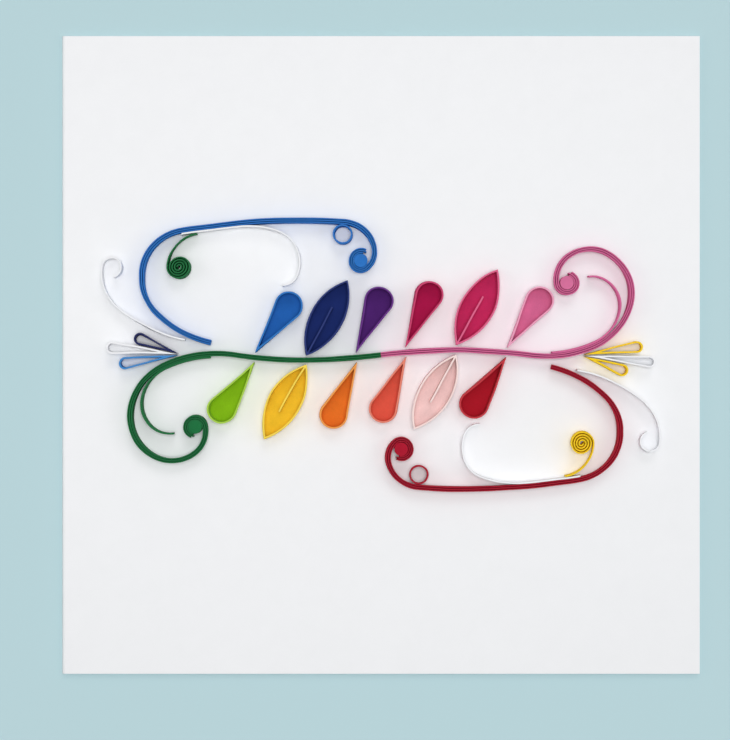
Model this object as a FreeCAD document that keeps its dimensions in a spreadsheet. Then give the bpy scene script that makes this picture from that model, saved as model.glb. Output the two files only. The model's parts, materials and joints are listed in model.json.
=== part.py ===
import FreeCAD, Part
import math
import os
from FreeCAD import Placement, Rotation, Vector

# A square folded card with paper strips standing on edge on its front: a garland of leaves and
# petals on an S-shaped stem, with scrolls, coils and dots at both ends. Millimetres and degrees.
# X runs to the card's right, Y to its top edge and Z out of its front, and the card lies on its
# back leaf. The garland looks the same after half a turn, so each strip is drawn once for the
# right half and placed again, turned by 180 degrees, for the left half.

sizes = {
    # folded card
    "card_side": 152.4,
    "card_board": 0.35,
    "fold_radius": 0.5,
    # paper strips and the flat pieces below them
    "strip_height": 4.0,
    "strip_thickness": 0.4,
    "band_thickness": 1.2,
    "panel_thickness": 0.25,
    "plug_height": 3.8,
    "glue_gap": 0.08,
    "clearance": 0.5,
    # stem
    "stem_radius": 125.0,
    "scroll_tuck": 12.0,
    # leaves and petals along the stem
    "leaf_pitch": 12.0,
    "leaf_angle": 61.0,
    "leaf_length": 20.5,
    "leaf_width": 8.0,
    "vein_length": 13.0,
    "petal_length": 17.0,
    "petal_width": 6.8,
    # scroll at the end of the stem, and the one laid inside it
    "scroll_lead_radius": 30.0,
    "scroll_lead_angle": 33.0,
    "scroll_radius": 13.5,
    "scroll_bend_angle": 64.0,
    "scroll_eye": 2.3,
    "inner_lead_angle": 22.0,
    "inner_radius": 9.5,
    "inner_bend_angle": 55.0,
    # swash that sweeps round the row of leaves, with a white strand on its inner side
    "swash_ahead": 6.0,
    "swash_aside": 2.0,
    "swash_turn_angle": 5.0,
    "swash_lead_radius": 28.0,
    "swash_lead_angle": 30.0,
    "swash_radius": 11.0,
    "shoulder_angle": 47.0,
    "swash_drop": 1.0,
    "belly_angle": 80.0,
    "swash_run_radius": 160.0,
    "swash_run_angle": 14.0,
    "swash_hook": 8.0,
    "swash_hook_end": 4.8,
    "swash_hook_angle": 70.0,
    "swash_eye": 2.3,
    "strand_run_angle": 5.0,
    "strand_rise_radius": 22.5,
    "strand_rise_angle": 25.0,
    "strand_hook": 7.5,
    "strand_hook_angle": 100.0,
    "strand_end_radius": 3.75,
    "strand_end_angle": 60.0,
    # white scroll outside the swash
    "outer_ahead": 12.0,
    "outer_aside": 1.8,
    "outer_turn_angle": 3.0,
    "outer_lead_radius": 36.0,
    "outer_lead_angle": 28.0,
    "outer_radius": 11.0,
    "outer_bend_angle": 60.0,
    "outer_eye": 2.3,
    # fan of slim loops at the end of the garland
    "fan_ahead": 12.5,
    "fan_gap": 1.0,
    "fan_radius": 1.4,
    "fan_tilt_angle": -6.0,
    "fan_spread_angle": 14.0,
    "fan_long": 17.0,
    "fan_middle": 14.0,
    "fan_short": 11.0,
    # rings and coils
    "ring_radius": 2.1,
    "coil_ahead": 3.8,
    "coil_tail_radius": 8.0,
    "coil_tail_angle": 82.0,
    "coil_radius": 2.6,
    "coil_gap": 0.35,
    "coil_turns": 1.5,
}

document = FreeCAD.newDocument("quilled_card")
sheet = document.addObject("Spreadsheet::Sheet", "Sizes")
for row, (alias, value) in enumerate(sizes.items(), start=1):
    sheet.set(f"A{row}", alias)
    sheet.set(f"B{row}", str(value))
    sheet.setAlias(f"B{row}", alias)
document.recompute()


def size(alias):
    return float(sheet.get(alias))


thickness = size("strip_thickness")
halfStrip = thickness / 2
halfBand = size("band_thickness") / 2
besideBand = halfBand + size("glue_gap") + halfStrip
scrollShrink = 0.8
eyeSweep = 250
motifCount = 6
rimSag = 0.05
panelSag = 0.9 * thickness
frontHeight = "(2 * Sizes.card_board + 2 * Sizes.fold_radius)"
panelTop = f"({frontHeight} + Sizes.panel_thickness)"


def ahead(heading):
    return Vector(math.cos(math.radians(heading)), math.sin(math.radians(heading)), 0)


def leftward(heading):
    return ahead(heading + 90)


# A route is a list of runs that join smoothly. A bend turns left where its sweep is above 0.
def bend(radius, sweep):
    return ("bend", radius, sweep)


def straight(length):
    return ("straight", length, 0)


# Each leg of a route holds where its run starts, which way it heads and where it ends.
def followRoute(start, heading, runs):
    legs = []
    point = Vector(start)
    for kind, length, sweep in runs:
        leg = {"kind": kind, "start": point, "heading": heading}
        if kind == "straight":
            point = point + ahead(heading) * length
        else:
            hand = math.copysign(1, sweep)
            leg["hand"] = hand
            leg["radius"] = length
            leg["centre"] = point + leftward(heading) * (hand * length)
            leg["sweep"] = sweep
            heading = heading + sweep
            point = leg["centre"] - leftward(heading) * (hand * length)
        leg["end"] = point
        leg["endHeading"] = heading
        legs.append(leg)
    return legs


# One side of a strip: the route moved to its left by the offset.
def sideCurves(legs, offset):
    curves = []
    for leg in legs:
        first = leg["start"] + leftward(leg["heading"]) * offset
        last = leg["end"] + leftward(leg["endHeading"]) * offset
        if leg["kind"] == "straight":
            curves.append(Part.LineSegment(first, last))
            continue
        middleHeading = leg["heading"] + leg["sweep"] / 2
        reach = leg["radius"] - leg["hand"] * offset
        middle = leg["centre"] - leftward(middleHeading) * (leg["hand"] * reach)
        curves.append(Part.Arc(first, middle, last))
    return curves


def stripOutline(legs, half):
    outline = sideCurves(legs, half) + sideCurves(legs, -half)
    for point, heading in (
        (legs[0]["start"], legs[0]["heading"]),
        (legs[-1]["end"], legs[-1]["endHeading"]),
    ):
        across = leftward(heading) * half
        outline.append(Part.LineSegment(point + across, point - across))
    return outline


# Runs of a scroll that tightens to the left by the same share at each bend.
def scrollRuns(radius, sweep, count):
    return [bend(radius * scrollShrink ** step, sweep) for step in range(count)]


# Runs of a coil that winds inward, half a turn at a time.
def coilRuns(radius, turns):
    pitch = thickness + size("coil_gap")
    return [bend(radius - step * pitch / 2, 180) for step in range(round(2 * turns))]


def newBody(name, plane, outline, padLength):
    body = document.addObject("PartDesign::Body", name)
    body.Label = name
    support = next(item for item in body.Origin.OriginFeatures if item.Role == plane)
    sketch = body.newObject("Sketcher::SketchObject", f"{name}_outline")
    sketch.AttachmentSupport = [(support, "")]
    sketch.MapMode = "FlatFace"
    sketch.addGeometry(outline, False)
    pad = body.newObject("PartDesign::Pad", f"{name}_pad")
    pad.Profile = sketch
    pad.setExpression("Length", padLength)
    body.Tip = pad
    return body


# A paper piece whose outline stands straight up from the given height.
def paperPiece(name, outline, padLength, height, place=Vector(), turn=0.0):
    body = newBody(name, "XY_Plane", outline, padLength)
    body.Placement = Placement(place, Rotation(Vector(0, 0, 1), turn))
    body.setExpression(".Placement.Base.z", height)
    return body


# A band is several strips glued face to face, and so has more than half a strip to each side.
def strip(name, start, heading, runs, turn=0.0, half=halfStrip):
    legs = followRoute(start, heading, runs)
    paperPiece(name, stripOutline(legs, half), "Sizes.strip_height", frontHeight, turn=turn)
    return legs


# The card: one sheet folded at its left edge, front leaf above back leaf.
def foldedCard():
    side = size("card_side")
    board = size("card_board")
    inner = size("fold_radius")
    outer = inner + board
    foldCentre = Vector(outer - side / 2, outer, 0)
    edge = side / 2
    top = 2 * outer

    def around(radius):
        return Part.Arc(
            foldCentre + Vector(0, radius, 0),
            foldCentre - Vector(radius, 0, 0),
            foldCentre - Vector(0, radius, 0),
        )

    def level(height):
        return Part.LineSegment(Vector(foldCentre.x, height, 0), Vector(edge, height, 0))

    def cutEdge(low, high):
        return Part.LineSegment(Vector(edge, low, 0), Vector(edge, high, 0))

    profile = [
        around(outer),
        around(inner),
        level(0),
        level(board),
        level(top - board),
        level(top),
        cutEdge(0, board),
        cutEdge(top - board, top),
    ]
    body = newBody("folded_card", "XZ_Plane", profile, "Sizes.card_side")
    body.Tip.Midplane = True
    return body


# A pointed leaf along +X from its root: two arcs that meet at root and tip.
def leafArcs(inset):
    halfLength = size("leaf_length") / 2
    halfWidth = size("leaf_width") / 2
    radius = (halfLength ** 2 + halfWidth ** 2) / (2 * halfWidth)
    centreDrop = radius - halfWidth
    reach = radius - inset
    halfChord = math.sqrt(reach ** 2 - centreDrop ** 2)
    return halfLength, centreDrop, reach, halfChord


def leafOutline():
    halfLength, centreDrop, reach, halfChord = leafArcs(0)
    root = Vector(halfLength - halfChord, 0, 0)
    tip = Vector(halfLength + halfChord, 0, 0)
    crest = Vector(halfLength, reach - centreDrop, 0)
    return [Part.Arc(root, crest, tip), Part.Arc(tip, Vector(crest.x, -crest.y, 0), root)]


# Pieces that repeat follow their arcs in chords, none of which leaves its arc by more than the
# sag. A base panel has longer chords than its rim, which covers the difference.
def chordOutline(curves, sag):
    chords = []
    for curve in curves:
        span = curve.LastParameter - curve.FirstParameter
        chordSpan = 2 * math.acos(1 - sag * curve.curvature(curve.FirstParameter))
        count = math.ceil(span / chordSpan) if chordSpan else 1
        for index in range(count):
            near = curve.value(curve.FirstParameter + index * span / count)
            far = curve.value(curve.FirstParameter + (index + 1) * span / count)
            chords.append(Part.LineSegment(near, far))
    return chords


# One strip folded round the leaf, with its end run back up the middle as a vein.
def leafRimOutline():
    halfLength, centreDrop, reach, halfChord = leafArcs(thickness)
    tip = Vector(halfLength + halfChord, 0, 0)
    crest = Vector(halfLength, reach - centreDrop, 0)
    forkX = halfLength - math.sqrt(reach ** 2 - (halfStrip + centreDrop) ** 2)
    veinEnd = size("vein_length")
    curves = leafOutline()
    for side in (1, -1):
        fork = Vector(forkX, side * halfStrip, 0)
        curves.append(Part.Arc(fork, Vector(crest.x, side * crest.y, 0), tip))
        curves.append(Part.LineSegment(fork, Vector(veinEnd, side * halfStrip, 0)))
    curves.append(Part.LineSegment(Vector(veinEnd, halfStrip, 0), Vector(veinEnd, -halfStrip, 0)))
    return chordOutline(curves, rimSag)


# A teardrop along +X from its point: two straight flanks and a round end.
def dropCurves(length, radius, inset):
    centre = Vector(length - radius, 0, 0)
    half = math.asin(radius / centre.x)
    point = Vector(inset / math.sin(half), 0, 0)
    reach = radius - inset
    high = centre + Vector(-math.sin(half), math.cos(half), 0) * reach
    low = Vector(high.x, -high.y, 0)
    return [
        Part.LineSegment(point, high),
        Part.Arc(high, centre + Vector(reach, 0, 0), low),
        Part.LineSegment(low, point),
    ]


def dropRimOutline(length, radius):
    curves = dropCurves(length, radius, 0) + dropCurves(length, radius, thickness)
    return chordOutline(curves, rimSag)


# A coloured base panel glued to the card, with a strip standing on its edge all round.
def rimmedPanel(name, panelOutline, rimOutline, place, turn):
    paperPiece(f"{name}_panel", panelOutline, "Sizes.panel_thickness", frontHeight, place, turn)
    paperPiece(f"{name}_rim", rimOutline, "Sizes.strip_height", panelTop, place, turn)


# The stem carries the row of leaves and runs on far enough for its scroll to clear the last one.
stemHalfRow = (motifCount - 1) / 2 * size("leaf_pitch")
stemHalf = stemHalfRow + size("petal_length") - size("scroll_tuck")
stemSweep = math.degrees(stemHalf / size("stem_radius"))


# Point and heading on the stem at a distance from its middle, to the left where below 0.
def stemStation(distance):
    turned = math.degrees(abs(distance) / size("stem_radius"))
    legs = followRoute(Vector(), stemSweep / 2, [bend(size("stem_radius"), -turned)])
    point = legs[-1]["end"]
    if distance < 0:
        point = -point
    return point, legs[-1]["endHeading"]


# A row of leaves and petals that leans along one side of the stem.
def motifRow(names, halfTurn):
    for index, name in enumerate(names):
        distance = (index - (motifCount - 1) / 2) * size("leaf_pitch")
        point, heading = stemStation(distance)
        root = point + leftward(heading) * (halfBand + size("clearance"))
        if halfTurn:
            root = -root
        turn = heading + size("leaf_angle") + halfTurn
        if name.endswith("leaf"):
            panel = chordOutline(leafOutline(), panelSag)
            rimmedPanel(name, panel, leafRimOutline(), root, turn)
        else:
            length = size("petal_length")
            radius = size("petal_width") / 2
            panel = chordOutline(dropCurves(length, radius, 0), panelSag)
            rimmedPanel(name, panel, dropRimOutline(length, radius), root, turn)


def stemAndScrolls(stemName, innerName, turn):
    lead = bend(size("scroll_lead_radius"), size("scroll_lead_angle"))
    curl = scrollRuns(size("scroll_radius"), size("scroll_bend_angle"), 4)
    runs = [bend(size("stem_radius"), -stemSweep), lead] + curl
    runs.append(bend(size("scroll_eye"), eyeSweep))
    legs = strip(stemName, Vector(), stemSweep / 2, runs, turn, halfBand)
    # The inner scroll is glued to the inner side of the lead and then leaves it.
    joinSweep = size("scroll_lead_angle") - size("inner_lead_angle")
    join = followRoute(legs[1]["start"], legs[1]["heading"], [bend(legs[1]["radius"], joinSweep)])
    heading = join[-1]["endHeading"]
    start = join[-1]["end"] + leftward(heading) * besideBand
    beside = bend(size("scroll_lead_radius") - besideBand, size("inner_lead_angle"))
    innerCurl = scrollRuns(size("inner_radius"), size("inner_bend_angle"), 3)
    strip(innerName, start, heading, [beside] + innerCurl, turn)
    return legs


# A start beyond the end of the stem, turned to the right of the way that the stem heads there.
def pastStem(prefix):
    point, heading = stemStation(stemHalf)
    aside = leftward(heading) * size(f"{prefix}_aside")
    start = point + ahead(heading) * size(f"{prefix}_ahead") - aside
    return start, heading - size(f"{prefix}_turn_angle")


def swashAndStrand(swashName, strandName, turn):
    start, heading = pastStem("swash")
    runs = [
        bend(size("swash_lead_radius"), -size("swash_lead_angle")),
        bend(size("swash_radius"), -size("shoulder_angle")),
        straight(size("swash_drop")),
        bend(size("swash_radius"), -size("belly_angle")),
        bend(size("swash_run_radius"), -size("swash_run_angle")),
        bend(size("swash_hook"), -size("swash_hook_angle")),
        bend(size("swash_hook_end"), -size("swash_hook_angle")),
        bend(size("swash_eye"), -eyeSweep),
    ]
    legs = strip(swashName, start, heading, runs, turn, halfBand)
    # The strand lies against the inner side of the long run and hooks up before its end.
    run = legs[4]
    strandStart = run["start"] - leftward(run["heading"]) * besideBand
    strandRuns = [
        bend(run["radius"] - besideBand, -size("strand_run_angle")),
        bend(size("strand_rise_radius"), -size("strand_rise_angle")),
        bend(size("strand_hook"), -size("strand_hook_angle")),
        bend(size("strand_end_radius"), -size("strand_end_angle")),
    ]
    strip(strandName, strandStart, run["heading"], strandRuns, turn)
    return legs


def outerScroll(name, turn):
    start, heading = pastStem("outer")
    runs = [
        bend(size("outer_lead_radius"), -size("outer_lead_angle")),
        bend(size("outer_radius"), -size("outer_bend_angle")),
        bend(size("outer_eye"), -eyeSweep),
    ]
    strip(name, start, heading, runs, turn)


# Three slim loops spread from one point, a little apart there.
def loopFan(names, turn):
    point, heading = stemStation(stemHalf)
    centre = point + Vector(size("fan_ahead"), 0, 0)
    lengths = (size("fan_middle"), size("fan_long"), size("fan_short"))
    for name, length, place in zip(names, lengths, (1, 0, -1)):
        angle = size("fan_tilt_angle") + place * size("fan_spread_angle")
        root = centre + ahead(angle) * size("fan_gap")
        outline = dropRimOutline(length, size("fan_radius"))
        if turn:
            root = -root
        paperPiece(name, outline, "Sizes.strip_height", frontHeight, root, angle + turn)


# The coil's tail is glued against the strand, faces back along it and curls up to the coil.
def tightCoil(name, legs, turn):
    run = legs[4]
    backSweep = math.degrees(size("coil_ahead") / run["radius"])
    seat = followRoute(run["start"], run["heading"], [bend(run["radius"], -backSweep)])[-1]
    inward = besideBand + thickness + size("glue_gap")
    start = seat["end"] - leftward(seat["endHeading"]) * inward
    runs = [bend(size("coil_tail_radius"), size("coil_tail_angle"))]
    runs += coilRuns(size("coil_radius"), size("coil_turns"))
    strip(name, start, seat["endHeading"] + 180, runs, turn)


def circle(radius):
    return Part.Circle(Vector(), Vector(0, 0, 1), radius)


# A wound plug, nearly as high as the strips, that fills the eye which a band ends in.
def eyeDisc(name, legs, turn):
    eye = legs[-1]
    centre = -eye["centre"] if turn else eye["centre"]
    radius = eye["radius"] - halfBand - size("glue_gap")
    paperPiece(name, [circle(radius)], "Sizes.plug_height", frontHeight, centre)


# An open ring against the inner side of the swash, where its long run ends.
def openRing(name, legs, turn):
    run = legs[4]
    radius = size("ring_radius")
    inward = halfBand + size("glue_gap") + radius + halfStrip
    centre = run["end"] - leftward(run["endHeading"]) * inward
    if turn:
        centre = -centre
    outline = [circle(radius + halfStrip), circle(radius - halfStrip)]
    paperPiece(name, outline, "Sizes.strip_height", frontHeight, centre)


foldedCard()

upperMotifs = (
    "azure_petal",
    "navy_leaf",
    "violet_petal",
    "crimson_petal",
    "magenta_leaf",
    "rose_petal",
)
lowerMotifs = (
    "scarlet_petal",
    "blush_leaf",
    "coral_petal",
    "orange_petal",
    "yellow_leaf",
    "lime_petal",
)
motifRow(upperMotifs, 0)
motifRow(lowerMotifs, 180)

scrollLegs = stemAndScrolls("pink_stem_scroll", "pink_inner_scroll", 0)
stemAndScrolls("green_stem_scroll", "green_inner_scroll", 180)
eyeDisc("rose_disc", scrollLegs, 0)
eyeDisc("green_disc", scrollLegs, 180)

swashLegs = swashAndStrand("red_swash", "white_lower_strand", 0)
swashAndStrand("blue_swash", "white_upper_strand", 180)
eyeDisc("crimson_disc", swashLegs, 0)
eyeDisc("azure_disc", swashLegs, 180)
openRing("red_ring", swashLegs, 0)
openRing("blue_ring", swashLegs, 180)
tightCoil("gold_coil", swashLegs, 0)
tightCoil("green_coil", swashLegs, 180)

outerScroll("white_right_scroll", 0)
outerScroll("white_left_scroll", 180)
loopFan(("gold_middle_loop", "white_right_loop", "gold_short_loop"), 0)
loopFan(("azure_middle_loop", "white_left_loop", "navy_short_loop"), 180)

document.recompute()

for item in document.Objects:
    if "Invalid" in item.State or "Error" in item.State:
        raise RuntimeError(f"{item.Label} did not build: {item.State}")

os.makedirs("parts", exist_ok=True)
pieces = [item for item in document.Objects if item.TypeId == "PartDesign::Body"]
for piece in pieces:
    shape = piece.Shape
    if shape.isNull() or not shape.isValid() or len(shape.Solids) != 1:
        raise RuntimeError(f"{piece.Label} is not one valid solid")
    shape.exportStep(f"parts/{piece.Label}.step")
print(f"{len(pieces)} pieces written")
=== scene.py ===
import json
import math

import bmesh
import bpy
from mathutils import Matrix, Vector


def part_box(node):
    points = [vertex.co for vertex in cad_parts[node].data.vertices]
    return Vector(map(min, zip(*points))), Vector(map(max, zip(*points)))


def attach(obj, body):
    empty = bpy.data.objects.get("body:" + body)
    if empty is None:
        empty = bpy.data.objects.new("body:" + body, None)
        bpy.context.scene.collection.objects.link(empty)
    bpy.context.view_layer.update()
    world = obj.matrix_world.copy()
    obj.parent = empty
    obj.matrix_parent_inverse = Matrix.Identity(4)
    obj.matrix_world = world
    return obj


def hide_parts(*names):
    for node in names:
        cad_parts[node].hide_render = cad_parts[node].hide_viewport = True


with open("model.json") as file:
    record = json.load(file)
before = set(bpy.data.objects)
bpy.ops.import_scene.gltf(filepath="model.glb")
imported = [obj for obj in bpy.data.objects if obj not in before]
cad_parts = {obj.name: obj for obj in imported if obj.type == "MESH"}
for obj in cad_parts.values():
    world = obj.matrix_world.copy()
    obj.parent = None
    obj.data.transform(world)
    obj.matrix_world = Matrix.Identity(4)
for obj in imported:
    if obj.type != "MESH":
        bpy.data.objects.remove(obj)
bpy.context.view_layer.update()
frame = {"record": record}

record = frame["record"]
slotOf = {part["node"]: part["material_slot"] for part in record["subparts"]}
colourOf = {material["slot"]: material["base_color"] for material in record["materials"]}

# Lengths are in millimetres and angles in degrees, apart from the stage at the end, which is in
# metres. The right half of the garland is described, and each piece of the left half is the
# same after half a turn about the middle: its turn is 180 where the right one's is 0.
mm = 0.001
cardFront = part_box("folded_card")[1].z / mm
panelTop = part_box("navy_leaf_panel")[1].z / mm

paper = {
    "stripHeight": 4.0,
    "stripThickness": 0.4,
    "coilThickness": 0.3,       # the strips of the coils are finer
    "bandThickness": 1.2,
    "bandLayers": (             # each layer's top, off the full height, and how many
        (-0.16, 16.0),          # degrees its far end stops short of the band's
        (0.0, 0.0),
        (-0.10, 8.0),
    ),
    "layerGap": 0.17,
    "seamDepth": 2.4,           # of the glued seams between the layers
    "seamShort": 2.0,           # degrees that a seam stops short of its layers
    "glueGap": 0.08,
    "clearance": 0.5,           # between the stem and a leaf
    "panelThickness": 0.25,
    "roundedEdge": 0.05,        # how far the cut edges are softened
    "stepLength": 0.5,          # between the cross lines of a strip
    "stepAngle": 8.0,           # that a strip turns between two of them, at most
    "lean": 0.9,                # how much the free edges wander
    "leanClouds": {"X": 13.0, "Y": 17.0},   # how slowly they do, along each axis
}
halfBand = paper["bandThickness"] / 2
besideBand = halfBand + paper["glueGap"] + paper["stripThickness"] / 2


# Helpers for modelling.

softening = {
    "segments": 2,
    "sharpAngle": 40.0,         # of the edges that are softened, at least
    "smoothAngle": 35.0,        # between faces that are shaded as one, at most
    "sameSpot": 0.002,          # corners nearer than this are merged afterwards
}


def startFresh():
    if bpy.context.mode != "OBJECT":
        bpy.ops.object.mode_set(mode="OBJECT")
    bpy.ops.object.select_all(action="DESELECT")


def makeActive(piece):
    startFresh()
    piece.select_set(True)
    bpy.context.view_layer.objects.active = piece


# Selects the faces, edges or corners of the piece in edit mode that pass the test.
def choose(piece, kind, test):
    bpy.ops.mesh.select_mode(type=kind)
    bpy.ops.mesh.select_all(action="DESELECT")
    mesh = bmesh.from_edit_mesh(piece.data)
    for item in {"VERT": mesh.verts, "EDGE": mesh.edges, "FACE": mesh.faces}[kind]:
        if test(item):
            item.select_set(True)
    mesh.select_flush_mode()
    bmesh.update_edit_mesh(piece.data)


def middleOf(item):
    corners = [corner.co for corner in item.verts]
    return sum(corners, Vector()) / len(corners) / mm


def camelName(node):
    words = node.split("_")
    return words[0] + "".join(word.title() for word in words[1:])


# A point of the right half, or where it comes to lie in the left half.
def onHalf(point, turn):
    return -point if turn else point


# A copy, with its own mesh, of a shape that was modelled at the origin.
def placedCopy(pattern, name, place, turn):
    piece = pattern.copy()
    piece.data = pattern.data.copy()
    piece.name = piece.data.name = name
    bpy.context.collection.objects.link(piece)
    piece.location = place * mm
    piece.rotation_euler.z = math.radians(turn)
    makeActive(piece)
    bpy.ops.object.transform_apply(location=True, rotation=True, scale=True)
    return piece


def applyModifiers(piece):
    makeActive(piece)
    for modifier in list(piece.modifiers):
        bpy.ops.object.modifier_apply(modifier=modifier.name)


def softenEdges(piece, width):
    edges = piece.modifiers.new("softEdges", "BEVEL")
    edges.width = width * mm
    edges.segments = softening["segments"]
    edges.limit_method = "ANGLE"
    edges.angle_limit = math.radians(softening["sharpAngle"])
    applyModifiers(piece)
    bpy.ops.object.mode_set(mode="EDIT")
    bpy.ops.mesh.select_all(action="SELECT")
    bpy.ops.mesh.remove_doubles(threshold=softening["sameSpot"] * mm)
    bpy.ops.object.mode_set(mode="OBJECT")


# Two slow clouds lean the free edges of all strips, so that neighbours lean alike.
leanClouds = {}
for axis, cloudSize in paper["leanClouds"].items():
    leanClouds[axis] = bpy.data.textures.new(f"lean{axis}", "CLOUDS")
    leanClouds[axis].noise_scale = cloudSize * mm
    leanClouds[axis].noise_depth = 1


def leanStrip(piece, base):
    free = piece.vertex_groups.new(name="freeEdge")
    for corner in piece.data.vertices:
        share = (corner.co.z / mm - base) / paper["stripHeight"]
        free.add([corner.index], min(max(share, 0), 1), "REPLACE")
    for axis, cloud in leanClouds.items():
        lean = piece.modifiers.new(f"lean{axis}", "DISPLACE")
        lean.texture = cloud
        lean.texture_coords = "LOCAL"
        lean.direction = axis
        lean.strength = paper["lean"] * mm
        lean.mid_level = 0.5
        lean.vertex_group = "freeEdge"
    applyModifiers(piece)
    piece.vertex_groups.clear()


def standFor(piece, node):
    makeActive(piece)
    bpy.ops.object.shade_smooth_by_angle(angle=math.radians(softening["smoothAngle"]))
    piece.data.materials.clear()
    piece.data.materials.append(paperMaterials[slotOf[node]])
    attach(piece, "root")
    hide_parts(node)


# Materials.

paperLook = {
    "stripSpread": 0.14,        # how much the dye varies
    "panelSpread": 0.10,
    "cardSpread": 0.012,
    "cutEdge": 0.012,           # how far the top edge pales: painted highlight, with the cut's paler fibres
    "cutEdgeBand": (-0.3, -0.05),       # where it does, from the top of the strip
    "fray": (0.35, 0.6, 0.6),           # fibres that break it up, and how much they leave
    "grain": 0.35,
    "cardGrain": 0.15,
    "grainDepth": 0.06,
    "fibreScale": 3200,         # this scale and the next two are per metre
    "mottleScale": 260,
    "toothScale": 9000,
    "toothShare": 0.4,          # of the relief, beside the fibres
    "patches": (0.7, 1.3),      # the sum of fibres and mottle from the darkest to the lightest
    "roughness": (0.6, 0.85),
    "specular": 0.08,
}


def addNode(nodes, kind, place, settings=None, **values):
    node = nodes.new(kind)
    node.location = place
    for name, value in (settings or {}).items():
        setattr(node, name, value)
    for name, value in values.items():
        node.inputs[name].default_value = value
    return node


# Fibres, mottled dye and a paler top edge, which is painted highlight together with the cut's
# paler fibres, for every paper in the scene.
def buildPaperGroup():
    group = bpy.data.node_groups.new("paperStock", "ShaderNodeTree")
    sockets = group.interface
    for name, kind in (
        ("Dye", "NodeSocketColor"),
        ("Edge Dye", "NodeSocketColor"),
        ("Edge Height", "NodeSocketFloat"),
        ("Spread", "NodeSocketFloat"),
        ("Grain", "NodeSocketFloat"),
    ):
        sockets.new_socket(name=name, in_out="INPUT", socket_type=kind)
    sockets.new_socket(name="Color", in_out="OUTPUT", socket_type="NodeSocketColor")
    sockets.new_socket(name="Roughness", in_out="OUTPUT", socket_type="NodeSocketFloat")
    sockets.new_socket(name="Normal", in_out="OUTPUT", socket_type="NodeSocketVector")
    nodes, links = group.nodes, group.links
    inputs = addNode(nodes, "NodeGroupInput", (-1200, 0))
    outputs = addNode(nodes, "NodeGroupOutput", (900, 0))
    spot = addNode(nodes, "ShaderNodeTexCoord", (-1200, -400))

    fibres = addNode(
        nodes, "ShaderNodeTexNoise", (-900, -300),
        Scale=paperLook["fibreScale"], Detail=5, Roughness=0.7, Distortion=1.4,
    )
    mottle = addNode(
        nodes, "ShaderNodeTexNoise", (-900, -600), Scale=paperLook["mottleScale"], Detail=3
    )
    tooth = addNode(
        nodes, "ShaderNodeTexNoise", (-900, -900), Scale=paperLook["toothScale"], Detail=2
    )
    for noise in (fibres, mottle, tooth):
        links.new(spot.outputs["Object"], noise.inputs["Vector"])

    # Dye: darker and lighter patches, with fibres through them.
    patch = addNode(nodes, "ShaderNodeMath", (-650, -450), {"operation": "ADD"})
    links.new(fibres.outputs["Fac"], patch.inputs[0])
    links.new(mottle.outputs["Fac"], patch.inputs[1])
    shade = addNode(nodes, "ShaderNodeMapRange", (-450, -450))
    shade.inputs["From Min"].default_value = paperLook["patches"][0]
    shade.inputs["From Max"].default_value = paperLook["patches"][1]
    shade.inputs["To Min"].default_value = -1
    shade.inputs["To Max"].default_value = 1
    links.new(patch.outputs[0], shade.inputs["Value"])
    spread = addNode(nodes, "ShaderNodeMath", (-250, -450), {"operation": "MULTIPLY_ADD"})
    links.new(shade.outputs["Result"], spread.inputs[0])
    links.new(inputs.outputs["Spread"], spread.inputs[1])
    spread.inputs[2].default_value = 1
    dyed = addNode(nodes, "ShaderNodeHueSaturation", (0, 0))
    links.new(inputs.outputs["Dye"], dyed.inputs["Color"])
    links.new(spread.outputs[0], dyed.inputs["Value"])

    # Painted highlight on the top edge, with the cut's paler fibres: close below the free edge of
    # the strip, broken up by the fibres.
    height = addNode(nodes, "ShaderNodeSeparateXYZ", (-900, 300))
    links.new(spot.outputs["Object"], height.inputs[0])
    below = addNode(nodes, "ShaderNodeMath", (-700, 300), {"operation": "SUBTRACT"})
    links.new(height.outputs["Z"], below.inputs[0])
    links.new(inputs.outputs["Edge Height"], below.inputs[1])
    edge = addNode(nodes, "ShaderNodeMapRange", (-500, 300))
    edge.inputs["From Min"].default_value = paperLook["cutEdgeBand"][0] * mm
    edge.inputs["From Max"].default_value = paperLook["cutEdgeBand"][1] * mm
    links.new(below.outputs[0], edge.inputs["Value"])
    broken = addNode(nodes, "ShaderNodeMapRange", (-500, 50))
    for name, value in zip(("From Min", "From Max", "To Min"), paperLook["fray"]):
        broken.inputs[name].default_value = value
    links.new(fibres.outputs["Fac"], broken.inputs["Value"])
    frayedHighlight = addNode(nodes, "ShaderNodeMath", (-300, 300), {"operation": "MULTIPLY"})
    links.new(edge.outputs["Result"], frayedHighlight.inputs[0])
    links.new(broken.outputs["Result"], frayedHighlight.inputs[1])
    colour = addNode(nodes, "ShaderNodeMix", (300, 0), {"data_type": "RGBA"})
    links.new(frayedHighlight.outputs[0], colour.inputs[0])
    links.new(dyed.outputs["Color"], colour.inputs[6])
    links.new(inputs.outputs["Edge Dye"], colour.inputs[7])
    links.new(colour.outputs[2], outputs.inputs["Color"])

    finish = addNode(nodes, "ShaderNodeMapRange", (300, -400))
    finish.inputs["To Min"].default_value = paperLook["roughness"][0]
    finish.inputs["To Max"].default_value = paperLook["roughness"][1]
    links.new(fibres.outputs["Fac"], finish.inputs["Value"])
    links.new(finish.outputs["Result"], outputs.inputs["Roughness"])

    # Relief: fibres with a finer tooth on them.
    relief = addNode(nodes, "ShaderNodeMath", (-400, -800), {"operation": "MULTIPLY_ADD"})
    links.new(tooth.outputs["Fac"], relief.inputs[0])
    relief.inputs[1].default_value = paperLook["toothShare"]
    links.new(fibres.outputs["Fac"], relief.inputs[2])
    bump = addNode(nodes, "ShaderNodeBump", (300, -700), Distance=paperLook["grainDepth"] * mm)
    links.new(inputs.outputs["Grain"], bump.inputs["Strength"])
    links.new(relief.outputs[0], bump.inputs["Height"])
    links.new(bump.outputs["Normal"], outputs.inputs["Normal"])
    return group


paperGroup = buildPaperGroup()


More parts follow.
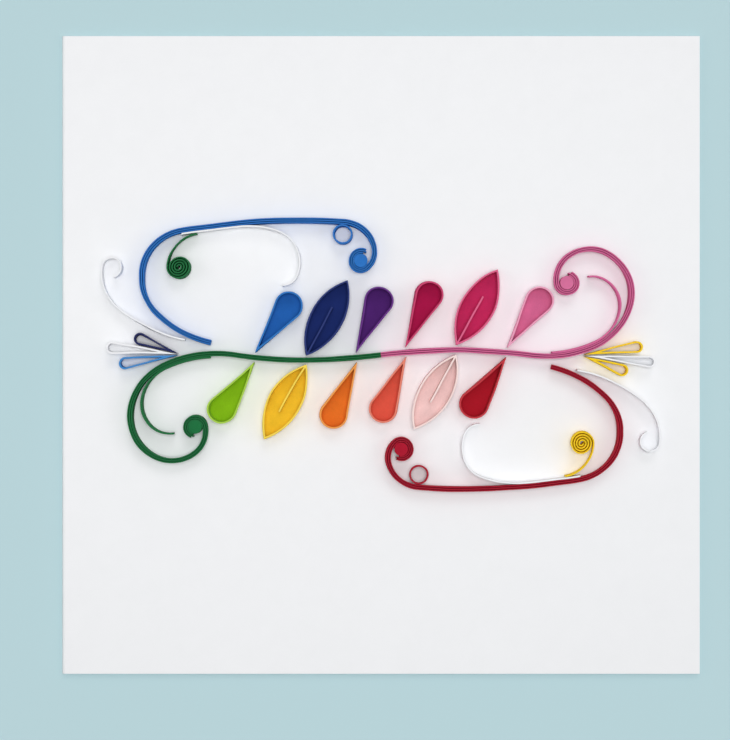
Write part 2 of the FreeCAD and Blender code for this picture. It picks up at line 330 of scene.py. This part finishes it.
def paperMaterial(name, colour, highlightHeight, spread, grain, cutEdge):
    material = bpy.data.materials.new(name)
    material.use_nodes = True
    nodes, links = material.node_tree.nodes, material.node_tree.links
    shader = nodes["Principled BSDF"]
    shader.inputs["Specular IOR Level"].default_value = paperLook["specular"]
    stock = addNode(nodes, "ShaderNodeGroup", (-300, 0), {"node_tree": paperGroup})
    stock.inputs["Dye"].default_value = (*colour, 1)
    # The edge dye is the dye paled towards white: a painted highlight along the top edge, with the
    # cut's paler fibres.
    stock.inputs["Edge Dye"].default_value = (*[c + (1 - c) * cutEdge for c in colour], 1)
    stock.inputs["Edge Height"].default_value = highlightHeight * mm
    stock.inputs["Spread"].default_value = spread
    stock.inputs["Grain"].default_value = grain
    links.new(stock.outputs["Color"], shader.inputs["Base Color"])
    links.new(stock.outputs["Roughness"], shader.inputs["Roughness"])
    links.new(stock.outputs["Normal"], shader.inputs["Normal"])
    return material


stripTop = cardFront + paper["stripHeight"]
rimTop = panelTop + paper["stripHeight"]
paperMaterials = {}
for slotName, colour in colourOf.items():
    spread, grain, cutEdge = paperLook["stripSpread"], paperLook["grain"], paperLook["cutEdge"]
    # Rims stand on panels, so their painted top-edge highlight sits higher than a strip's.
    highlightHeight = rimTop if "light" in slotName else stripTop
    if slotName == "card_board":
        spread, grain, cutEdge = paperLook["cardSpread"], paperLook["cardGrain"], 0
    elif not slotName.endswith(("light_paper", "strip_paper")):
        spread = paperLook["panelSpread"]
    paperMaterials[slotName] = paperMaterial(
        camelName(slotName), colour, highlightHeight, spread, grain, cutEdge
    )
print("materials ready:", len(paperMaterials))


# The card, one sheet folded at its left edge.

card = {
    "side": 152.4,
    "board": 0.35,
    "foldInside": 0.5,          # radius inside the fold
    "foldSteps": 20,
    "edge": 0.08,               # how far its cut edges are softened
}


# The right edge of the front leaf is drawn out to the fold, round it and back as the back leaf.
def foldCard():
    half = card["side"] / 2
    outer = card["foldInside"] + card["board"]
    foldX = outer - half
    startFresh()
    bpy.ops.mesh.primitive_plane_add(
        size=1,
        location=Vector((half, 0, 2 * outer - card["board"] / 2)) * mm,
        rotation=(0, math.radians(90), 0),
    )
    piece = bpy.context.object
    piece.name = "foldedCard"
    piece.scale = (card["board"] * mm, card["side"] * mm, 1)
    bpy.ops.object.transform_apply(location=True, rotation=True, scale=True)
    bpy.ops.object.mode_set(mode="EDIT")
    bpy.ops.mesh.select_all(action="SELECT")
    across = Vector((foldX - half, 0, 0)) * mm
    bpy.ops.mesh.extrude_region_move(TRANSFORM_OT_translate={"value": across})
    bpy.ops.mesh.spin(
        steps=card["foldSteps"],
        angle=math.pi,
        center=Vector((foldX, 0, outer)) * mm,
        axis=(0, 1, 0),
    )
    bpy.ops.mesh.extrude_region_move(TRANSFORM_OT_translate={"value": -across})
    bpy.ops.mesh.select_all(action="SELECT")
    bpy.ops.mesh.normals_make_consistent(inside=False)
    bpy.ops.object.mode_set(mode="OBJECT")
    softenEdges(piece, card["edge"])
    standFor(piece, "folded_card")


foldCard()
print("card folded")


# Strips and bands on edge.

def ahead(heading):
    return Vector((math.cos(math.radians(heading)), math.sin(math.radians(heading)), 0))


def leftward(heading):
    return ahead(heading + 90)


# A route is a list of bends, (radius, sweep), which turn left where the sweep is above 0, and
# straights, (length, 0). Each leg says where its run starts, how it heads and where it ends.
def followRoute(start, heading, runs):
    legs = []
    point = start
    for length, sweep in runs:
        leg = {"start": point, "heading": heading, "length": length, "sweep": sweep}
        if sweep:
            side = math.copysign(length, sweep)
            leg["centre"] = point + leftward(heading) * side
            heading = heading + sweep
            point = leg["centre"] - leftward(heading) * side
        else:
            point = point + ahead(heading) * length
        leg["end"] = point
        leg["endHeading"] = heading
        legs.append(leg)
    return legs


# The strip's end is drawn as a plane and then swept along the route, run by run.
def sweepStrip(start, heading, runs, thickness, height):
    startFresh()
    bpy.ops.mesh.primitive_plane_add(
        size=1,
        location=(start + Vector((0, 0, cardFront + height / 2))) * mm,
        rotation=(math.radians(90), 0, math.radians(heading + 90)),
    )
    piece = bpy.context.object
    piece.scale = (thickness * mm, height * mm, 1)
    bpy.ops.object.transform_apply(location=True, rotation=True, scale=True)
    bpy.ops.object.mode_set(mode="EDIT")
    bpy.ops.mesh.select_all(action="SELECT")
    for leg in followRoute(start, heading, runs):
        if leg["sweep"]:
            arcLength = leg["length"] * math.radians(abs(leg["sweep"]))
            steps = max(arcLength / paper["stepLength"], abs(leg["sweep"]) / paper["stepAngle"])
            bpy.ops.mesh.spin(
                steps=math.ceil(steps),
                angle=-math.radians(leg["sweep"]),
                center=leg["centre"] * mm,
                axis=(0, 0, 1),
            )
        else:
            move = ahead(leg["heading"]) * leg["length"] * mm
            bpy.ops.mesh.extrude_region_move(TRANSFORM_OT_translate={"value": move})
    bpy.ops.mesh.select_all(action="SELECT")
    bpy.ops.mesh.normals_make_consistent(inside=False)
    bpy.ops.object.mode_set(mode="OBJECT")
    softenEdges(piece, paper["roundedEdge"])
    return piece


def finishStrip(piece, node):
    piece.name = piece.data.name = camelName(node)
    leanStrip(piece, cardFront)
    standFor(piece, node)


def bendStrip(node, start, heading, runs, turn):
    piece = sweepStrip(
        onHalf(start, turn), heading + turn, runs, paper["stripThickness"], paper["stripHeight"]
    )
    finishStrip(piece, node)


# One strip beside a route, on radii of its own, to the left of it where offset is above 0. Its
# last bend stops endShort degrees before the route's.
def sweepLayer(start, heading, runs, offset, thickness, height, endShort):
    layerRuns = [
        (length - math.copysign(1, sweep) * offset, sweep) if sweep else (length, 0)
        for length, sweep in runs
    ]
    radius, sweep = layerRuns[-1]
    layerRuns[-1] = (radius, sweep - math.copysign(endShort, sweep))
    return sweepStrip(start + leftward(heading) * offset, heading, layerRuns, thickness, height)


# Joins them into the first.
def joinPieces(pieces):
    makeActive(pieces[0])
    for piece in pieces:
        piece.select_set(True)
    bpy.ops.object.join()


# A band is three strips glued side by side, with tops and ends that don't quite agree, and a
# low seam between each two of them.
def bendBand(node, start, heading, runs, turn):
    start = onHalf(start, turn)
    heading = heading + turn
    layers = paper["bandLayers"]
    middle = (len(layers) - 1) / 2
    pitch = (paper["bandThickness"] + paper["layerGap"]) / len(layers)
    pieces = []
    for index, (drop, endShort) in enumerate(layers):
        pieces.append(sweepLayer(
            start, heading, runs, (index - middle) * pitch, pitch - paper["layerGap"],
            paper["stripHeight"] + drop, endShort,
        ))
    for index in range(len(layers) - 1):
        endShort = max(layers[index][1], layers[index + 1][1]) + paper["seamShort"]
        pieces.append(sweepLayer(
            start, heading, runs, (index + 0.5 - middle) * pitch,
            paper["layerGap"] + paper["roundedEdge"],
            paper["stripHeight"] - paper["seamDepth"], endShort,
        ))
    joinPieces(pieces)
    finishStrip(pieces[0], node)


stem = {
    "radius": 125.0,
    "pitch": 12.0,              # between the leaves along it
    "leavesPerSide": 6,
    "overhang": 5.0,            # past the last leaf
}
stemHalf = (stem["leavesPerSide"] - 1) / 2 * stem["pitch"] + stem["overhang"]
stemSweep = math.degrees(stemHalf / stem["radius"])


# Point and heading on the stem at a distance from its middle, to the left where below 0.
def stemStation(distance):
    turned = math.degrees(abs(distance) / stem["radius"])
    leg = followRoute(Vector(), stemSweep / 2, [(stem["radius"], -turned)])[-1]
    return (leg["end"] if distance > 0 else -leg["end"]), leg["endHeading"]


# Where a piece starts that is placed from the right end of the stem, and how it heads.
def pastStem(piece):
    point, heading = stemStation(stemHalf)
    start = point + ahead(heading) * piece["ahead"] - leftward(heading) * piece["aside"]
    return start, heading - piece["turnedIn"]


scroll = {
    "lead": (30.0, 33.0),
    "radius": 13.5,             # of the first of its bends
    "sweep": 64.0,
    "bends": 4,
    "shrink": 0.8,              # each bend's radius over the last one's
    "eye": (2.3, 250.0),
    "innerLead": 22.0,          # how much of the lead the inner strip lies along
    "innerRadius": 9.5,
    "innerSweep": 55.0,
    "innerBends": 3,
}


def tightening(radius, sweep, count):
    return [(radius * scroll["shrink"] ** step, sweep) for step in range(count)]


stemRuns = [(stem["radius"], -stemSweep), scroll["lead"]]
stemRuns += tightening(scroll["radius"], scroll["sweep"], scroll["bends"])
stemRuns.append(scroll["eye"])
stemLegs = followRoute(Vector(), stemSweep / 2, stemRuns)

leadRadius, leadSweep = scroll["lead"]
join = followRoute(
    stemLegs[1]["start"], stemLegs[1]["heading"], [(leadRadius, leadSweep - scroll["innerLead"])]
)[-1]
innerStart = join["end"] + leftward(join["endHeading"]) * besideBand
innerRuns = [(leadRadius - besideBand, scroll["innerLead"])]
innerRuns += tightening(scroll["innerRadius"], scroll["innerSweep"], scroll["innerBends"])
for colourName, turn in (("pink", 0), ("green", 180)):
    bendBand(f"{colourName}_stem_scroll", Vector(), stemSweep / 2, stemRuns, turn)
    bendStrip(f"{colourName}_inner_scroll", innerStart, join["endHeading"], innerRuns, turn)
print("stem and scrolls bent")

swash = {
    "ahead": 6.0,               # its start, from the end of the stem
    "aside": 2.0,
    "turnedIn": 5.0,
    "lead": (28.0, -30.0),
    "shoulder": (11.0, -47.0),
    "drop": (1.0, 0),
    "belly": (11.0, -80.0),
    "run": (160.0, -14.0),
    "hook": [(8.0, -70.0), (4.8, -70.0)],
    "eye": (2.3, -250.0),
    "strandRun": -5.0,          # how much of the run the white strand lies along
    "strandHook": [(22.5, -25.0), (7.5, -100.0), (3.75, -60.0)],
    "ringRadius": 2.1,
}
swashStart, swashHeading = pastStem(swash)
swashRuns = [swash[name] for name in ("lead", "shoulder", "drop", "belly", "run")]
swashRuns += swash["hook"] + [swash["eye"]]
swashLegs = followRoute(swashStart, swashHeading, swashRuns)
run = swashLegs[4]
strandStart = run["start"] - leftward(run["heading"]) * besideBand
strandRuns = [(run["length"] - besideBand, swash["strandRun"])] + swash["strandHook"]
for colourName, strandNode, turn in (
    ("red", "white_lower_strand", 0),
    ("blue", "white_upper_strand", 180),
):
    bendBand(f"{colourName}_swash", swashStart, swashHeading, swashRuns, turn)
    bendStrip(strandNode, strandStart, run["heading"], strandRuns, turn)
print("swashes bent")

outerScroll = {
    "ahead": 12.0,              # its start, from the end of the stem
    "aside": 1.8,
    "turnedIn": 3.0,
    "runs": [(36.0, -28.0), (11.0, -60.0), (2.3, -250.0)],
}
outerStart, outerHeading = pastStem(outerScroll)
for node, turn in (("white_right_scroll", 0), ("white_left_scroll", 180)):
    bendStrip(node, outerStart, outerHeading, outerScroll["runs"], turn)

coil = {
    "ahead": 3.8,               # its tail's start, along the swash's long run
    "tail": (8.0, 82.0),
    "radius": 2.6,
    "pitch": 0.6,               # between its turns
    "halfTurns": 8,
    "innerDrop": 3.0,           # of the turns hidden between those that show
}
backSweep = math.degrees(coil["ahead"] / run["length"])
seat = followRoute(run["start"], run["heading"], [(run["length"], -backSweep)])[-1]
inward = besideBand + paper["stripThickness"] + paper["glueGap"]
coilStart = seat["end"] - leftward(seat["endHeading"]) * inward
coilRuns = [coil["tail"]]
coilRuns += [(coil["radius"] - step * coil["pitch"] / 2, 180) for step in range(coil["halfTurns"])]
for node, turn in (("gold_coil", 0), ("green_coil", 180)):
    start = onHalf(coilStart, turn)
    heading = seat["endHeading"] + 180 + turn
    height = paper["stripHeight"]
    outerTurns = sweepStrip(start, heading, coilRuns, paper["coilThickness"], height)
    tailEnd = followRoute(start, heading, [coil["tail"]])[-1]
    hiddenTurns = sweepLayer(
        tailEnd["end"], tailEnd["endHeading"], coilRuns[1:-1], coil["pitch"] / 2,
        coil["pitch"] - paper["coilThickness"] + paper["roundedEdge"],
        height - coil["innerDrop"], 0,
    )
    joinPieces([outerTurns, hiddenTurns])
    finishStrip(outerTurns, node)
print("outer scrolls and coils bent")


# Flat outlines, and what stands on them.

outline = {
    "dropCorners": 56,          # of the circle that a teardrop is cut from
    "roundCorners": 64,
    "onLine": 0.001,            # corners nearer to a cut than this lie on it
    "sameSpot": 0.01,
}


# A filled circle in edit mode, all of it selected.
def beginCircle(name, radius, centre, height, corners):
    startFresh()
    bpy.ops.mesh.primitive_circle_add(
        vertices=corners,
        radius=radius * mm,
        fill_type="NGON",
        location=(centre + Vector((0, 0, height))) * mm,
    )
    piece = bpy.context.object
    piece.name = piece.data.name = name
    bpy.ops.object.transform_apply(location=True, rotation=True, scale=True)
    bpy.ops.object.mode_set(mode="EDIT")
    bpy.ops.mesh.select_all(action="SELECT")
    return piece


# Cuts what is selected by an upright plane, and can throw away what lies behind it.
def cutAcross(x, y, normal, clear=False):
    bpy.ops.mesh.bisect(
        plane_co=(x * mm, y * mm, 0), plane_no=normal, clear_inner=clear,
        threshold=outline["onLine"] * mm,
    )


def raiseOutline(piece, rise, edge):
    bpy.ops.mesh.extrude_region_move(TRANSFORM_OT_translate={"value": (0, 0, rise * mm)})
    bpy.ops.mesh.select_all(action="SELECT")
    bpy.ops.mesh.normals_make_consistent(inside=False)
    bpy.ops.object.mode_set(mode="OBJECT")
    softenEdges(piece, edge)


leaf = {
    "length": 20.5,
    "width": 8.0,
    "vein": 13.0,
    "angle": 61.0,              # from the stem
    "veinCuts": 8,
    "circleCorners": 200,       # of the large circle that a side is cut from
    "bluntTip": (0.02, 0.45),   # corners this far from a tip are dissolved, for the inset's sake
    "hollowCorners": 8,         # a face with more corners is the hollow inside the strip
    "hollowSlack": 0.03,        # how far a face of the hollow may reach into the strip
}
petal = {"length": 17.0, "width": 6.8, "flankCuts": 12}
leafHalfLength = leaf["length"] / 2
leafHalfWidth = leaf["width"] / 2
leafRadius = (leafHalfLength ** 2 + leafHalfWidth ** 2) / (2 * leafHalfWidth)


# A pointed leaf along +X from its root: a large circle cut to a sliver, and its mirror image.
def leafOutline(name, height):
    centre = Vector((leafHalfLength, leafHalfWidth - leafRadius, 0))
    piece = beginCircle(name, leafRadius, centre, height, leaf["circleCorners"])
    cutAcross(0, 0, (0, 1, 0), clear=True)
    bpy.ops.mesh.select_all(action="SELECT")
    bpy.ops.mesh.duplicate()
    bpy.ops.transform.resize(value=(1, -1, 1), center_override=(0, 0, 0))
    bpy.ops.mesh.select_all(action="SELECT")
    bpy.ops.mesh.remove_doubles(threshold=outline["sameSpot"] * mm)
    # The cut's own edge, from tip to tip, is the only long one.
    choose(piece, "EDGE", lambda edge: edge.calc_length() > leaf["width"] * mm)
    bpy.ops.mesh.delete(type="EDGE")
    nearest, farthest = leaf["bluntTip"]
    tips = [Vector((x, 0, height)) for x in (0, leaf["length"])]
    choose(piece, "VERT", lambda corner: any(
        nearest < (corner.co / mm - tip).length < farthest for tip in tips))
    bpy.ops.mesh.dissolve_verts()
    bpy.ops.mesh.select_mode(type="EDGE")
    bpy.ops.mesh.select_all(action="SELECT")
    bpy.ops.mesh.edge_face_add()
    return piece


# A teardrop along +X from its point: a circle with one side cut off and drawn out to a point.
def dropOutline(name, length, radius, height):
    centre = length - radius
    tangent = centre - radius ** 2 / centre
    piece = beginCircle(name, radius, Vector((centre, 0, 0)), height, outline["dropCorners"])
    cutAcross(tangent, 0, (1, 0, 0), clear=True)
    choose(piece, "EDGE", lambda edge: all(
        corner.co.x < (tangent + outline["onLine"]) * mm for corner in edge.verts))
    bpy.ops.mesh.subdivide(number_cuts=1)
    choose(piece, "VERT", lambda corner: (
        abs(corner.co.y) < outline["sameSpot"] * mm and corner.co.x < centre * mm))
    bpy.ops.transform.translate(value=(-tangent * mm, 0, 0))
    choose(piece, "FACE", lambda face: True)
    return piece


# A strip on edge round a teardrop, with cross lines along its flanks so that they can lean.
def dropRim(name, length, radius, height, cuts):
    piece = dropOutline(name, length, radius, height)
    bpy.ops.mesh.inset(thickness=paper["stripThickness"] * mm)
    bpy.ops.mesh.delete(type="FACE")
    for cut in range(1, cuts):
        choose(piece, "FACE", lambda face: True)
        cutAcross((length - radius) * cut / cuts, 0, (1, 0, 0))
    choose(piece, "FACE", lambda face: True)
    raiseOutline(piece, paper["stripHeight"], paper["roundedEdge"])
    return piece


# One strip folded round the leaf, with its end run back up the middle as a vein.
def leafRim(name):
    half = paper["stripThickness"] / 2
    piece = leafOutline(name, panelTop)
    bpy.ops.mesh.inset(thickness=paper["stripThickness"] * mm)
    for side in (half, -half):
        choose(piece, "FACE", lambda face: len(face.verts) > leaf["hollowCorners"])
        cutAcross(0, side, (0, 1, 0))
    for cut in range(1, leaf["veinCuts"] + 1):
        choose(piece, "FACE", lambda face: abs(middleOf(face).y) < half)
        cutAcross(leaf["vein"] * cut / leaf["veinCuts"], 0, (1, 0, 0))
    choose(piece, "FACE", lambda face: isLeafHollow(face, half))
    bpy.ops.mesh.delete(type="FACE")
    choose(piece, "FACE", lambda face: True)
    raiseOutline(piece, paper["stripHeight"], paper["roundedEdge"])
    return piece


# Whether a face lies inside the folded strip and isn't a part of the vein.
def isLeafHollow(face, half):
    reach = leafRadius - paper["stripThickness"] + leaf["hollowSlack"]
    for corner in face.verts:
        x, y = corner.co.x / mm, abs(corner.co.y) / mm
        if math.hypot(x - leafHalfLength, y + leafRadius - leafHalfWidth) > reach:
            return False
    middle = middleOf(face)
    return abs(middle.y) > half or middle.x > leaf["vein"]


# Each shape is modelled once at the origin, and copied to its places.
patterns = {"leafRim": leafRim("leafRimPattern")}
patterns["leafPanel"] = leafOutline("leafPanelPattern", cardFront)
raiseOutline(patterns["leafPanel"], paper["panelThickness"], paper["roundedEdge"])
petalShape = (petal["length"], petal["width"] / 2)
patterns["petalRim"] = dropRim("petalRimPattern", *petalShape, panelTop, petal["flankCuts"])
patterns["petalPanel"] = dropOutline("petalPanelPattern", *petalShape, cardFront)
raiseOutline(patterns["petalPanel"], paper["panelThickness"], paper["roundedEdge"])

upperRow = (
    "azure_petal", "navy_leaf", "violet_petal", "crimson_petal", "magenta_leaf", "rose_petal"
)
lowerRow = (
    "scarlet_petal", "blush_leaf", "coral_petal", "orange_petal", "yellow_leaf", "lime_petal"
)
for row, turn in ((upperRow, 0), (lowerRow, 180)):
    for index, motif in enumerate(row):
        point, heading = stemStation((index - (stem["leavesPerSide"] - 1) / 2) * stem["pitch"])
        root = onHalf(point + leftward(heading) * (halfBand + paper["clearance"]), turn)
        kind = motif.split("_")[1]
        for part in ("panel", "rim"):
            node = f"{motif}_{part}"
            pattern = patterns[kind + part.title()]
            piece = placedCopy(pattern, camelName(node), root, heading + leaf["angle"] + turn)
            if part == "rim":
                leanStrip(piece, panelTop)
            standFor(piece, node)
for pattern in patterns.values():
    bpy.data.objects.remove(pattern)
print("leaves and petals placed")

fan = {
    "ahead": 12.5,              # the point it spreads from, past the end of the stem
    "gap": 1.0,                 # from there to the tips of the loops
    "radius": 1.4,              # of a loop's round end
    "tilt": -6.0,
    "spread": 14.0,             # between two loops
    "flankCuts": 12,
    "loops": (                  # place, length, right node, left node
        (1, 14.0, "gold_middle_loop", "azure_middle_loop"),
        (0, 17.0, "white_right_loop", "white_left_loop"),
        (-1, 11.0, "gold_short_loop", "navy_short_loop"),
    ),
}
fanCentre = stemStation(stemHalf)[0] + Vector((fan["ahead"], 0, 0))
for place, length, rightNode, leftNode in fan["loops"]:
    pattern = dropRim("loopPattern", length, fan["radius"], cardFront, fan["flankCuts"])
    angle = fan["tilt"] + place * fan["spread"]
    root = fanCentre + ahead(angle) * fan["gap"]
    for node, turn in ((rightNode, 0), (leftNode, 180)):
        piece = placedCopy(pattern, camelName(node), onHalf(root, turn), angle + turn)
        leanStrip(piece, cardFront)
        standFor(piece, node)
    bpy.data.objects.remove(pattern)
print("loops placed")


# Plugs in the eyes of the bands, and open rings beside the swashes.

plug = {
    "height": 3.8,
    "edge": 0.07,
    "wrap": 0.26,               # the last turn of the strip it is wound from
    "dish": 0.05,               # how far the turns inside it sit lower
    "dishSlope": 0.15,          # the width of the slope down to them
}


def eyePlug(node, leg, turn):
    centre = onHalf(leg["centre"], turn)
    radius = leg["length"] - halfBand - paper["glueGap"]
    piece = beginCircle(camelName(node), radius, centre, cardFront, outline["roundCorners"])
    bpy.ops.mesh.extrude_region_move(TRANSFORM_OT_translate={"value": (0, 0, plug["height"] * mm)})
    bpy.ops.mesh.inset(thickness=plug["wrap"] * mm)
    bpy.ops.mesh.inset(thickness=plug["dishSlope"] * mm, depth=-plug["dish"] * mm)
    bpy.ops.mesh.select_all(action="SELECT")
    bpy.ops.mesh.normals_make_consistent(inside=False)
    bpy.ops.object.mode_set(mode="OBJECT")
    softenEdges(piece, plug["edge"])
    standFor(piece, node)


eyePlug("rose_disc", stemLegs[-1], 0)
eyePlug("green_disc", stemLegs[-1], 180)
eyePlug("crimson_disc", swashLegs[-1], 0)
eyePlug("azure_disc", swashLegs[-1], 180)

ringReach = swash["ringRadius"] + paper["stripThickness"] / 2
ringCentre = run["end"] - leftward(run["endHeading"]) * (halfBand + paper["glueGap"] + ringReach)
for node, turn in (("red_ring", 0), ("blue_ring", 180)):
    centre = onHalf(ringCentre, turn)
    piece = beginCircle(camelName(node), ringReach, centre, cardFront, outline["roundCorners"])
    bpy.ops.mesh.inset(thickness=paper["stripThickness"] * mm)
    bpy.ops.mesh.delete(type="FACE")
    choose(piece, "FACE", lambda face: True)
    raiseOutline(piece, paper["stripHeight"], paper["roundedEdge"])
    finishStrip(piece, node)
print("plugs and rings placed")


# Floor, light and camera.

stage = {
    "floorSize": 3.0,
    "floorDrop": 0.0001,        # below the card, so that the two don't share a plane
    "floorColour": (0.50, 0.69, 0.73),
    "floorRoughness": 0.8,
    "skyStrength": 0.275,
    "backdrop": (0.80, 0.88, 0.90),
    "lamps": (                  # name, place, size, power
        ("overheadLamp", (0.02, 0.0, 1.30), 0.45, 8.25),
        ("leftLamp", (-0.80, 0.10, 0.75), 0.50, 0.88),
        ("rightLamp", (0.80, 0.05, 0.75), 0.50, 0.88),
    ),
    "windowPlace": (0.15, 0.75, 1.0),   # daylight from beyond the top edge
    "windowAngle": 25.0,
    "windowStrength": 0.39,
    "cameraPlace": (-0.0038, -0.0036),
    "cameraHeight": 0.6,        # above the front of the card
    "viewSpan": 0.1768,         # of the card's front, along the picture's longer side
}

startFresh()
bpy.ops.mesh.primitive_plane_add(size=stage["floorSize"], location=(0, 0, -stage["floorDrop"]))
floor = bpy.context.object
floor.name = "floor"
floorMaterial = bpy.data.materials.new("floorPaint")
floorMaterial.use_nodes = True
floorShader = floorMaterial.node_tree.nodes["Principled BSDF"]
floorShader.inputs["Base Color"].default_value = (*stage["floorColour"], 1)
floorShader.inputs["Roughness"].default_value = stage["floorRoughness"]
floor.data.materials.append(floorMaterial)

world = bpy.data.worlds.new("softRoom")
bpy.context.scene.world = world
world.use_nodes = True
worldNodes, worldLinks = world.node_tree.nodes, world.node_tree.links
worldNodes.clear()
skyLight = addNode(worldNodes, "ShaderNodeBackground", (0, 0), Strength=stage["skyStrength"])
backdrop = addNode(worldNodes, "ShaderNodeBackground", (0, -200), Color=(*stage["backdrop"], 1))
lightPath = addNode(worldNodes, "ShaderNodeLightPath", (0, 300))
seen = addNode(worldNodes, "ShaderNodeMixShader", (300, 0))
worldOut = addNode(worldNodes, "ShaderNodeOutputWorld", (500, 0))
skyLight.inputs["Color"].default_value = (1, 1, 1, 1)
worldLinks.new(lightPath.outputs["Is Camera Ray"], seen.inputs[0])
worldLinks.new(skyLight.outputs[0], seen.inputs[1])
worldLinks.new(backdrop.outputs[0], seen.inputs[2])
worldLinks.new(seen.outputs[0], worldOut.inputs["Surface"])

for name, place, size, power in stage["lamps"]:
    startFresh()
    bpy.ops.object.light_add(type="AREA", location=place)
    lamp = bpy.context.object
    lamp.name = name
    lamp.data.size = size
    lamp.data.energy = power
    lamp.rotation_euler = Vector(place).to_track_quat("Z", "Y").to_euler()
startFresh()
bpy.ops.object.light_add(type="SUN", location=stage["windowPlace"])
daylight = bpy.context.object
daylight.name = "daylight"
daylight.data.angle = math.radians(stage["windowAngle"])
daylight.data.energy = stage["windowStrength"]
daylight.rotation_euler = Vector(stage["windowPlace"]).to_track_quat("Z", "Y").to_euler()

startFresh()
cameraX, cameraY = stage["cameraPlace"]
cameraZ = cardFront * mm + stage["cameraHeight"]
bpy.ops.object.camera_add(location=(cameraX, cameraY, cameraZ), rotation=(0, 0, 0))
camera = bpy.context.object
camera.data.lens = camera.data.sensor_width * stage["cameraHeight"] / stage["viewSpan"]
bpy.context.scene.camera = camera
bpy.context.scene.view_settings.view_transform = "Standard"
print("stage set")
